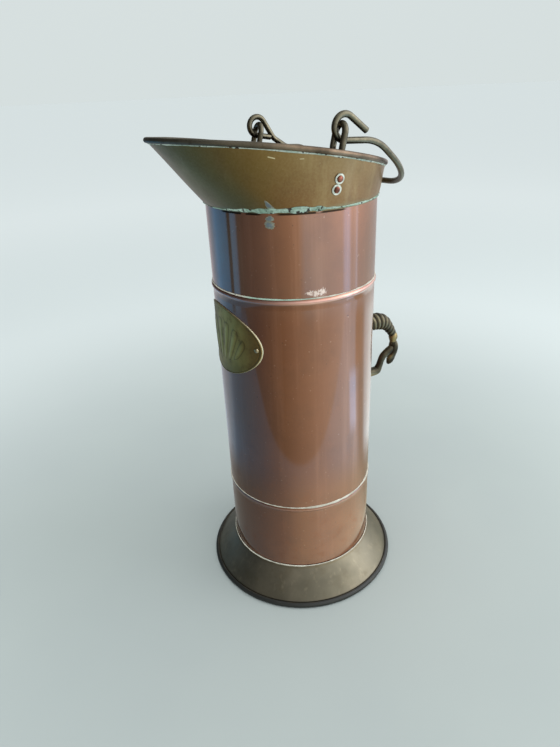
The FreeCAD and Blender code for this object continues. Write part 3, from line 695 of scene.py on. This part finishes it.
def on_drum(azimuth, height):
    """Lays (u, v, off) on the drum: angle azimuth + u / radius, height + v and radius DRUM + off."""
    def place(u, v, off):
        angle = math.radians(azimuth) + u / DRUM
        return np.stack([(DRUM + off) * np.cos(angle), (DRUM + off) * np.sin(angle), height + v], -1)
    return place


def on_mouth(turn, share, length):
    """Lays (u, v, off) on the outside of the mouth: u round it, and v up a line of the given length."""
    return lambda u, v, off: wall(math.radians(turn) + u / DRUM, share + v / length, GAUGE / 2 + off)


def solder_recipe(spot):
    fine = spot.noise(420.0, 3.0)
    edge = (mark_of(spot) + (fine - 0.5) * 0.5).step(0.45, 0.80)
    colour = edge.mix(tint(104, 115, 121), tint(128, 128, 112))
    colour = fine.step(0.54, 0.68).over(colour, (172, 178, 166), 0.4)
    return {"Base Color": colour, "Roughness": 0.40 + fine * 0.3,
            "Bump": dict(Height=fine, Strength=0.3, Distance=0.0006)}


solder = finish("solder", solder_recipe, Metallic=0.35)
lenses, lens_marks = zip(
    drop(wide=3.9, tall=3.0, proud=0.40, narrow=0.2, seed=31, place=on_drum(-129.8, 471.6)),
    drop(wide=4.9, tall=3.9, proud=0.45, narrow=-0.1, seed=32, place=on_drum(-130.0, 465.7)),
    drop(wide=2.8, tall=3.7, proud=0.35, narrow=0.60, seed=33, place=on_mouth(53.2, 0.140, 55.0)))
solder_drops = piece("solder_drops", lenses, "bucket", solder, marks=lens_marks, sharp=70, joined=False)

# %% [markdown]
# ## Rods, rivets and washers
# The bail and its two eyes are round brass rod, gone grey-brown with age and paler where they rub. Their
# solids already have the right bends, so they only need a finish. Rivet heads are copper, on rings of pale
# metal.

# %% Rod, rivet and washer finishes
def rod_recipe(spot):
    cloud = spot.noise(26.0)
    pit = spot.noise(160.0)
    rub = spot.noise(48.0, 3.0, 0.55, shift=(5.0, 1.0, 0.0)).step(0.50, 0.72)
    colour = cloud.step(0.32, 0.70).mix(tint(78, 74, 62), tint(101, 97, 81))
    colour = pit.step(0.52, 0.74).over(colour, (54, 51, 42), 0.55)
    colour = rub.over(colour, (146, 137, 113), 0.35)
    return {"Base Color": colour, "Roughness": 0.26 + pit * 0.22,
            "Bump": dict(Height=pit * 0.6 + cloud * 0.4, Strength=0.16, Distance=0.001)}


def small_recipe(scale, steps, first, second, smooth, spread, strength):
    """Small hardware: one noise goes from the first colour to the second, and from smooth to rough."""
    def recipe(spot):
        cloud = spot.noise(scale)
        return {"Base Color": cloud.step(*steps).mix(tint(*first), tint(*second)),
                "Roughness": smooth + cloud * spread,
                "Bump": dict(Height=cloud, Strength=strength, Distance=0.0006)}
    return recipe


rivet_recipe = small_recipe(scale=180.0, steps=(0.35, 0.65), first=(88, 54, 44), second=(138, 86, 70),
                            smooth=0.22, spread=0.25, strength=0.2)
washer_recipe = small_recipe(scale=220.0, steps=(0.40, 0.66), first=(206, 208, 194), second=(148, 152, 136),
                             smooth=0.45, spread=0.3, strength=0.25)
# The plaque's studs are painted pale all over as a painted highlight; their own heads are dark brown.
stud_highlight_recipe = small_recipe(scale=160.0, steps=(0.38, 0.64), first=(206, 196, 164), second=(150, 134, 98),
                           smooth=0.25, spread=0.2, strength=0.2)
rod_brass = finish("rod_brass", rod_recipe, Metallic=1.0)
rivet_copper = finish("rivet_copper", rivet_recipe, Metallic=1.0)
washer_pale = finish("washer_pale", washer_recipe, Metallic=0.55)
stud_highlight_paint = finish("stud_highlight_paint", stud_highlight_recipe, Metallic=1.0)


def dress(material, *names):
    for name in names:
        mesh = nodes[name].data
        mesh.materials.clear()
        mesh.materials.append(material)


dress(rod_brass, "bail", "left_ear", "right_ear")
dress(rivet_copper, "ear_rivets", "handle_rivets")
dress(washer_pale, "ear_washers", "handle_washers")
dress(stud_highlight_paint, "plaque_rivets")
dress(copper, "bottom_disc")
dress(foot_brass, "foot_wire", "rim_wire")
print("dressed the rods, rivets, washers, wires and the base")

# %% [markdown]
# ## Plaque
# The plate is thin yellow brass bent round the drum, with a rolled edge and a raised pattern. Its face is a
# disc in polar form laid on the drum, with the relief as a height over it. The pattern is a plain fan of
# ribs. Its high places are rubbed, its hollows and one end are dark, and the cut edge is pale.

# %% Plaque relief
PLATE_WIDE, PLATE_TALL, PLATE_AT, PLATE = 59.5, 39.3, 336.0, 0.9
FAN_BELOW, FAN_RIBS, FAN_WIDE, FAN_TALL, FAN_PROUD = 62, 34, 43, 24, 0.75
EDGE_ROLL, EDGE_GROOVE, EDGE_DROP = (0.985, 0.015, 0.30), (0.958, 0.014, 0.15), (1.0, 0.012, 0.35)
ROLL_FOOT, FLANK_FROM, FLANK_MARK = 0.97, 0.992, 2.0
DARK_END = (-0.054, -0.036)


def bump(distance, size):
    """Round-topped rise: 1 at zero distance, falling smoothly to 0 at size."""
    u = np.clip(1 - distance / size, 0, 1)
    return u * u * (3 - 2 * u)


def hoop(share, middle, half, height):
    """Rise round the oval: its middle and half width as shares, and its height."""
    return height * bump(np.abs(share - middle), half)


def fan_relief(y, z):
    """Height share of the pattern: ribs that fan out from a point below the plate, inside a smaller oval."""
    lean = np.arctan2(y, z + FAN_BELOW)
    ribs = (0.5 + 0.5 * np.cos(lean * FAN_RIBS)) ** 1.5
    field = (y / FAN_WIDE) ** 2 + (z / FAN_TALL) ** 2
    return ribs * bump(field, 1.0) ** 0.35


def plate_grid():
    """Front and back of the plate: share of the oval and angle give y and z, and the drum's curve gives x."""
    share = np.concatenate([np.linspace(0.0, 0.90, 60), np.linspace(0.905, 1.0, 24)])[:, None]
    a = angles(260)[None, :]
    y, z = PLATE_WIDE * share * np.cos(a), PLATE_TALL * share * np.sin(a)
    edge = hoop(share, *EDGE_ROLL) - hoop(share, *EDGE_GROOVE)
    relief = fan_relief(y, z)
    height = CLEAR + PLATE + edge + FAN_PROUD * relief - hoop(share, *EDGE_DROP)
    front = np.stack([-np.sqrt((DRUM + height) ** 2 - y ** 2), y, PLATE_AT + z], -1)
    back = np.stack([-np.sqrt((DRUM + CLEAR) ** 2 - y ** 2), y, PLATE_AT + z], -1)
    flank = np.broadcast_to(FLANK_MARK * (share > FLANK_FROM), height.shape)
    mark = relief + 2 * edge * (share < ROLL_FOOT) + flank
    return np.concatenate([front, back[::-1]]), np.concatenate([mark, flank[::-1]])


def plaque_recipe(spot):
    mark = mark_of(spot)
    cloud = spot.noise(24.0, shift=(0.0, 2.0, 6.0))
    stain = spot.noise(90.0, rough=0.65)
    colour = cloud.step(0.34, 0.68).mix(tint(134, 112, 60), tint(170, 143, 78))
    colour = spot.part(1).fade(*DARK_END).over(colour, (96, 72, 50), 0.55)
    colour = stain.step(0.50, 0.72).over(colour, (82, 68, 46), 0.5)
    colour = mark.step(0.25, 0.85).over(colour, (192, 172, 104), 0.55)
    colour = (mark.step(0.02, 0.14) * mark.fade(0.14, 0.30)).over(colour, (70, 58, 36), 0.5)
    colour = mark.step(1.1, 1.6).over(colour, (206, 200, 172))
    colour = mark.fade(-0.40, -0.10).over(colour, (50, 48, 36), 0.6)
    return {"Base Color": colour, "Roughness": 0.38 + stain * 0.24,
            "Bump": dict(Height=stain * 0.5 + cloud * 0.5, Strength=0.14, Distance=0.001)}


plaque_brass = finish("plaque_brass", plaque_recipe, Metallic=1.0)
plate, plate_mark = plate_grid()
plaque = piece("plaque_plate", [plate], "bucket", plaque_brass, ["plaque"], [plate_mark], joined=False)

# %% [markdown]
# ## Back handle
# The handle is one casting: a twisted rope comes out of the drum and bends down to a knot and a leaf, and
# an arm goes back to the drum. A smooth path through a few measured points carries a round section.

# %% Section along a path
def smooth_path(points, count):
    """Catmull-Rom curve through points, each segment a cubic in its own parameter, read at equal steps."""
    p = np.concatenate([2 * points[:1] - points[1:2], points, 2 * points[-1:] - points[-2:-1]])
    t = np.linspace(0, len(points) - 1 - 1e-9, count)
    k = t.astype(int)
    u = (t - k)[:, None]
    a, b, c, d = p[k], p[k + 1], p[k + 2], p[k + 3]
    square, cube = 2 * a - 5 * b + 4 * c - d, 3 * b - a - 3 * c + d
    return 0.5 * (2 * b + (c - a) * u + square * u ** 2 + cube * u ** 3)


def cast_arm(rows, count, sides, shape):
    """Section along a path in the XZ plane: rows of (x, z, radius); shape(run, angle) scales the radius."""
    x, z, radius = smooth_path(np.array(rows, float), count).T
    line = np.stack([x, 0 * x, z], -1)
    along = unit(np.gradient(line, axis=0))
    run = np.concatenate([[0], np.cumsum(np.linalg.norm(np.diff(line, axis=0), axis=1))])
    scale, mark = shape(run[:, None], angles(sides)[None, :])
    grid = tube(line, along, radius[:, None] * scale, sides, up=(0, 1, 0))
    caps = np.repeat(line[[0, -1]][:, None], sides, 1)
    mark = np.broadcast_to(mark, (count, sides))
    return np.concatenate([caps[:1], grid, caps[1:]]), np.concatenate([mark[:1], mark, mark[-1:]])


print("sections can follow smooth paths")

# %% [markdown]
# The section's radius follows a wave that twists along the path. Sharp creases make the strands of the
# rope, and softer waves the lobes of the leaf and the arm. The same wave marks where highlights are painted
# on the crests and what stays dark.

# %% Handle casting
STRAND = 6.2


def rope_shape(run, angle):
    """Strands: the radius rises to round crests along a twist of angle + run, with dark creases between."""
    wave = np.abs(np.cos((2 * angle + 2 * np.pi * run / STRAND) / 2))
    return 0.88 + 0.14 * wave ** 0.8, wave ** 1.3


def knot_shape(run, angle):
    """Plain round knot."""
    return 1 + 0 * angle, 1.6 + 0 * angle


def leaf_shape(run, angle):
    """Leaf: two soft lobes that twist slowly."""
    wave = 0.5 + 0.5 * np.cos(2 * angle + run * 0.22)
    return 0.80 + 0.22 * wave, 1.15 * wave


def arm_shape(run, angle):
    """Arm: nearly round, with two faint ridges."""
    wave = 0.5 + 0.5 * np.cos(2 * angle + run * 0.05)
    return 0.93 + 0.08 * wave, 0.35 + 0.75 * wave


ROPE = [(86.0, 310.0, 10.4), (100, 310.8, 10.5), (112, 310.8, 10.6), (120.5, 309.2, 10.4),
        (126.8, 306.0, 9.2), (132.2, 301.0, 7.3), (137.4, 294.3, 6.2), (141.0, 288.3, 5.2)]
KNOT = [(140.6, 289.8, 3.0), (142.2, 286.8, 5.2), (142.8, 283.3, 5.8), (142.7, 279.6, 4.9),
        (142.5, 276.9, 4.0)]
LEAF = [(142.5, 278.5, 4.0), (143.6, 273.5, 5.5), (144.2, 268.5, 6.2), (144.2, 263.0, 6.2),
        (142.0, 256.0, 6.1), (139.4, 250.6, 4.9), (137.2, 247.2, 3.0), (136.2, 245.4, 1.2)]
ARM = [(142.0, 268.0, 4.6), (138.0, 265.5, 5.0), (133.6, 262.8, 4.9), (127.8, 258.6, 4.5),
       (124.6, 252.3, 4.3), (122.3, 245.9, 4.5), (118.6, 240.8, 5.6), (111.0, 240.0, 5.9),
       (100.0, 240.0, 6.6), (86.0, 240.0, 8.2)]
arms, arm_marks = zip(cast_arm(ROPE, 150, 40, rope_shape), cast_arm(KNOT, 40, 32, knot_shape),
                      cast_arm(LEAF, 70, 36, leaf_shape), cast_arm(ARM, 90, 32, arm_shape))


def handle_recipe(spot):
    mark = mark_of(spot)
    cloud = spot.noise(40.0)
    pit = spot.noise(220.0)
    colour = cloud.step(0.34, 0.68).mix(tint(52, 49, 40), tint(86, 81, 65))
    colour = mark.fade(0.10, 0.60).over(colour, (38, 33, 26), 0.8)
    # Pale paint on the crests of the strands, and tan on the crests of the leaf and arm: painted highlights.
    colour = (mark.step(0.80, 1.0) * cloud.step(0.40, 0.62)).over(colour, (150, 140, 108), 0.30)
    colour = (mark.step(0.98, 1.10) * cloud.step(0.36, 0.58)).over(colour, (142, 124, 86), 0.7)
    colour = (mark.step(1.2, 1.5) * pit.step(0.35, 0.60, 0.35, 0.8)).over(colour, (138, 122, 84))
    return {"Base Color": colour, "Roughness": 0.34 + pit * 0.25,
            "Bump": dict(Height=pit, Strength=0.20, Distance=0.0008)}


handle_brass = finish("handle_brass", handle_recipe, Metallic=1.0)
handle = piece("handle_casting", arms, "bucket", handle_brass, ["back_handle"], arm_marks, sharp=70,
               joined=False)

# %% [markdown]
# ## Studio
# A pale floor that brightens away from the bucket meets the light of the room without a line. One soft lamp
# hangs overhead, where shiny metal does not see it, and one stands on the right.

# %% Floor and lamps
HEADING = math.radians(25)
PALE_FLOOR, FAR_FLOOR, FLOOR_REACH, FLOOR_SIDES = (220, 226, 226), (238, 242, 242), 60.0, 128
SKY_LOW, SKY_HIGH = (0.672, 0.737, 0.735, 1), (0.84, 0.885, 0.895, 1)


def from_camera(x, y, z):
    """Place (metres) of a point given as right of, behind and above the bucket as the camera sees it."""
    c, s = math.cos(HEADING), math.sin(HEADING)
    return (x * c + y * s, -x * s + y * c, z)


def stage_mesh(name, points, faces, material):
    mesh = bpy.data.meshes.new(name)
    mesh.from_pydata(points, [], faces)
    mesh.materials.append(material)
    return placed(name, mesh)


def floor_recipe(spot):
    radius = around(spot)[1]
    colour = spot.noise(3.0, 3.0, 0.5).step(0.3, 0.7).mix(tint(181, 189, 188), tint(185, 193, 191))
    colour = radius.step(0.28, 1.1).over(colour, PALE_FLOOR)
    colour = radius.step(1.2, 3.0).over(colour, FAR_FLOOR)
    return {"Base Color": colour, "Roughness": 0.75 + spot.noise(260.0, 2.0, 0.5) * 0.1}


def lamp(name, place, aim, size, watts, colour):
    light = bpy.data.lights.new(name, "AREA")
    light.shape = "RECTANGLE"
    light.size, light.size_y = size
    light.energy, light.color = watts, colour
    made = placed(name, light)
    start, end = Vector(from_camera(*place)), Vector(from_camera(*aim))
    made.location = start
    made.rotation_euler = (end - start).to_track_quat("-Z", "Y").to_euler()
    return made


floor_paint = finish("floor_paint", floor_recipe, Specular_IOR_Level=0.0)
floor = stage_mesh("floor", circle(FLOOR_SIDES) * FLOOR_REACH, [list(range(FLOOR_SIDES))], floor_paint)
floor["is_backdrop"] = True
overhead = lamp("overhead", place=(0.3, -0.1, 2.2), aim=(0, 0, 0.2), size=(1.8, 1.8), watts=12,
                colour=(1.0, 0.99, 0.97))
overhead.visible_glossy = False
lamp("right_window", place=(1.6, -0.2, 1.2), aim=(0, 0, 0.25), size=(1.0, 1.6), watts=9,
     colour=(0.96, 0.98, 1.0))
world = scene.world = bpy.data.worlds.new("soft_room")
world.use_nodes = True
sky_tree = world.node_tree
sky_way = Value(sky_tree, sky_tree.nodes.new("ShaderNodeTexCoord").outputs["Generated"])
sky = sky_way.part(2).step(0.0, 1.0).mix(SKY_LOW, SKY_HIGH)
sky_tree.links.new(sky.socket, sky_tree.nodes["Background"].inputs["Color"])
print("floor, lamps and room light ready")

# %% [markdown]
# Upright metal seen from above mirrors the floor, so a card that only shiny surfaces see lies on the floor
# and stands up at its edge. It is dark on the left, blue far behind on that side, and bright on the right,
# which is what gives round metal its light and dark sides. A straight edge across the front of it is what
# shows as the rounded warm patch in the middle of the copper. Each row below is an angle, nought towards
# the camera and growing to the right, and the red, green and blue glow there in hundredths.

# %% Card for the shine
CLOSE = [(-180, 30, 30, 30), (-150, 24, 24, 24), (-108, 17, 19, 18), (-81, 15.5, 19, 19.5),
         (-53, 21, 25, 26), (-24, 37, 39, 36), (2, 72, 76, 62), (28, 95, 101, 87), (56, 98, 105, 87),
         (88, 80, 82, 66), (112, 38, 36, 27), (140, 26, 25, 20), (180, 26, 26, 26)]
NEAR = [(-180, 42, 42, 42), (-158, 40, 43, 47), (-128, 34, 43, 52), (-113, 24, 40, 56), (-106, 12, 26, 42),
        (-85, 10.5, 23, 38), (-53, 15, 27, 40), (-30, 28, 36, 41), (0, 60, 73, 78), (28, 82, 98, 102),
        (48, 86, 114, 132), (72, 88, 116, 136), (86, 85, 110, 126), (94, 72, 82, 84), (100, 50, 52, 46),
        (108, 50, 52, 46), (115, 92, 110, 116), (130, 100, 116, 118), (156, 50, 50, 50), (180, 42, 42, 42)]
PAST = [(-180, 30, 30, 30), (-75, 11, 12, 13), (-50, 14.5, 14.5, 14.5), (-18, 32, 29, 21),
        (15, 61, 60, 49), (45, 82, 86, 80), (75, 98, 115, 120), (180, 30, 30, 30)]
FAR = [(-180, 42, 42, 42), (-150, 42, 40, 44), (-136, 28, 38, 50), (-122, 15, 46, 84), (-96, 14, 46, 86),
       (-94, 3, 3, 3), (-90, 3, 3, 3), (-88, 28, 66, 106), (-80, 26, 58, 94), (-77, 14, 13, 12),
       (-60, 20, 20, 19), (-38, 33, 33, 29), (-9, 63, 58, 43), (6, 74, 71, 56), (14, 80, 116, 128),
       (45, 86, 127, 145), (66, 94, 128, 146), (70, 125, 195, 280), (77, 125, 195, 280),
       (81, 84, 112, 128), (89, 84, 112, 128), (91, 145, 195, 250), (94, 74, 94, 102), (115, 58, 70, 72),
       (150, 42, 42, 42), (180, 42, 42, 42)]
HIGH = [(-180, 40, 40, 40), (-150, 8, 8, 8), (-75, 5, 5, 5), (-35, 20, 20, 20), (-5, 60, 60, 60),
        (30, 130, 130, 130), (62, 210, 210, 210), (105, 165, 172, 195), (140, 100, 100, 100),
        (180, 40, 40, 40)]
EDGE_AHEAD, EDGE_SOFT, CARD_SIDES = 0.355, 0.01, 96
LILAC, TAN = (1.5, 2.1, 2.9, 1), (0.56, 0.50, 0.38, 1)
CARD_OUTLINE = np.array([(0.128, 0.0004), (0.6, 0.0004), (2.5, 0.0004), (2.5, 1.6), (2.1, 2.5), (1.3, 3.1)])


def card_recipe(spot):
    """Glow by the angle as the camera sees it: close by, near, past the straight edge, far and high up."""
    ahead, aside = (spot.node("ShaderNodeVectorMath", {0: spot, 1: from_camera(*way)}, out=1,
                              operation="DOT_PRODUCT") for way in ((0, -1, 0), (1, 0, 0)))
    share = spot.maths("ARCTAN2", aside, ahead) * (0.5 / math.pi) + 0.5
    close, near, past, far, high = (
        share.node("ShaderNodeValToRGB", {0: share}, stops=[
            ((at + 180) / 360, (red / 100, green / 100, blue / 100, 1)) for at, red, green, blue in rows])
        for rows in (CLOSE, NEAR, PAST, FAR, HIGH))
    _, radius, height = around(spot)
    turn = share * 360 - 180
    glow = radius.step(0.24, 0.36).mix(close, near)
    glow = ahead.step(EDGE_AHEAD - EDGE_SOFT, EDGE_AHEAD + EDGE_SOFT).mix(glow, past)
    glow = (turn.near(84, 4, 5) * radius.near(0.54, 0.08, 0.08)).mix(glow, LILAC)
    glow = (turn.near(98, 6, 3) * radius.step(0.64, 0.70)).mix(glow, TAN)
    glow = radius.step(0.95, 1.25).mix(glow, far)
    return {"Emission Color": height.step(0.02, 0.12).mix(glow, high)}


card_glow = finish("card_glow", card_recipe, Base_Color=(0, 0, 0, 1), Roughness=1.0, Specular_IOR_Level=0.0,
                   Emission_Strength=1.35)
card_reach, card_height = CARD_OUTLINE.T[:, :, None, None]
card_points = card_reach * circle(CARD_SIDES) + card_height * [0, 0, 1]
card_faces = faces_of(len(CARD_OUTLINE), CARD_SIDES, False)
card = stage_mesh("card", card_points.reshape(-1, 3), card_faces, card_glow)
card.visible_camera = card.visible_diffuse = card.visible_shadow = card.visible_transmission = False
card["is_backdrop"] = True
print("card with", len(card_faces), "faces")

# %% [markdown]
# The camera looks down at the bucket from in front, a little to the lip's side, and is rolled by a few
# degrees. Its axes are written as the columns of a turn, so nothing has to be tracked or aimed.

# %% Camera
PITCH, ROLL_ANGLE = math.radians(26.99), math.radians(2.65)
FOCAL, TALL, SENSOR = 563.15, 747, 36
CAMERA_AT = (-0.020, -0.6127, 0.5796)
forward = np.array([0, math.cos(PITCH), -math.sin(PITCH)])
right = np.array([1.0, 0, 0])
down = np.cross(forward, right)
view_right = math.cos(ROLL_ANGLE) * right + math.sin(ROLL_ANGLE) * down
view_down = -math.sin(ROLL_ANGLE) * right + math.cos(ROLL_ANGLE) * down
columns = [from_camera(*v) for v in (view_right, -view_down, -forward, CAMERA_AT)]
lens = bpy.data.cameras.new("camera")
lens.sensor_fit = "VERTICAL"
lens.sensor_height = SENSOR
lens.lens = FOCAL * SENSOR / TALL
camera = placed("camera", lens)
camera.matrix_world = Matrix([*zip(*columns), (0, 0, 0, 1)])
scene.camera = camera
scene.view_settings.view_transform = "Standard"
print("camera at", [round(v, 4) for v in columns[3]], "lens", round(lens.lens, 2))

# %% [markdown]
# ## Size
# The box round the finished bucket is written beside the box round its solids.

# %% Size
new_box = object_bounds()
for label, box in (("cad box", cad_box), ("visual box", new_box)):
    print(label, [[round(v, 4) for v in corner] for corner in box])
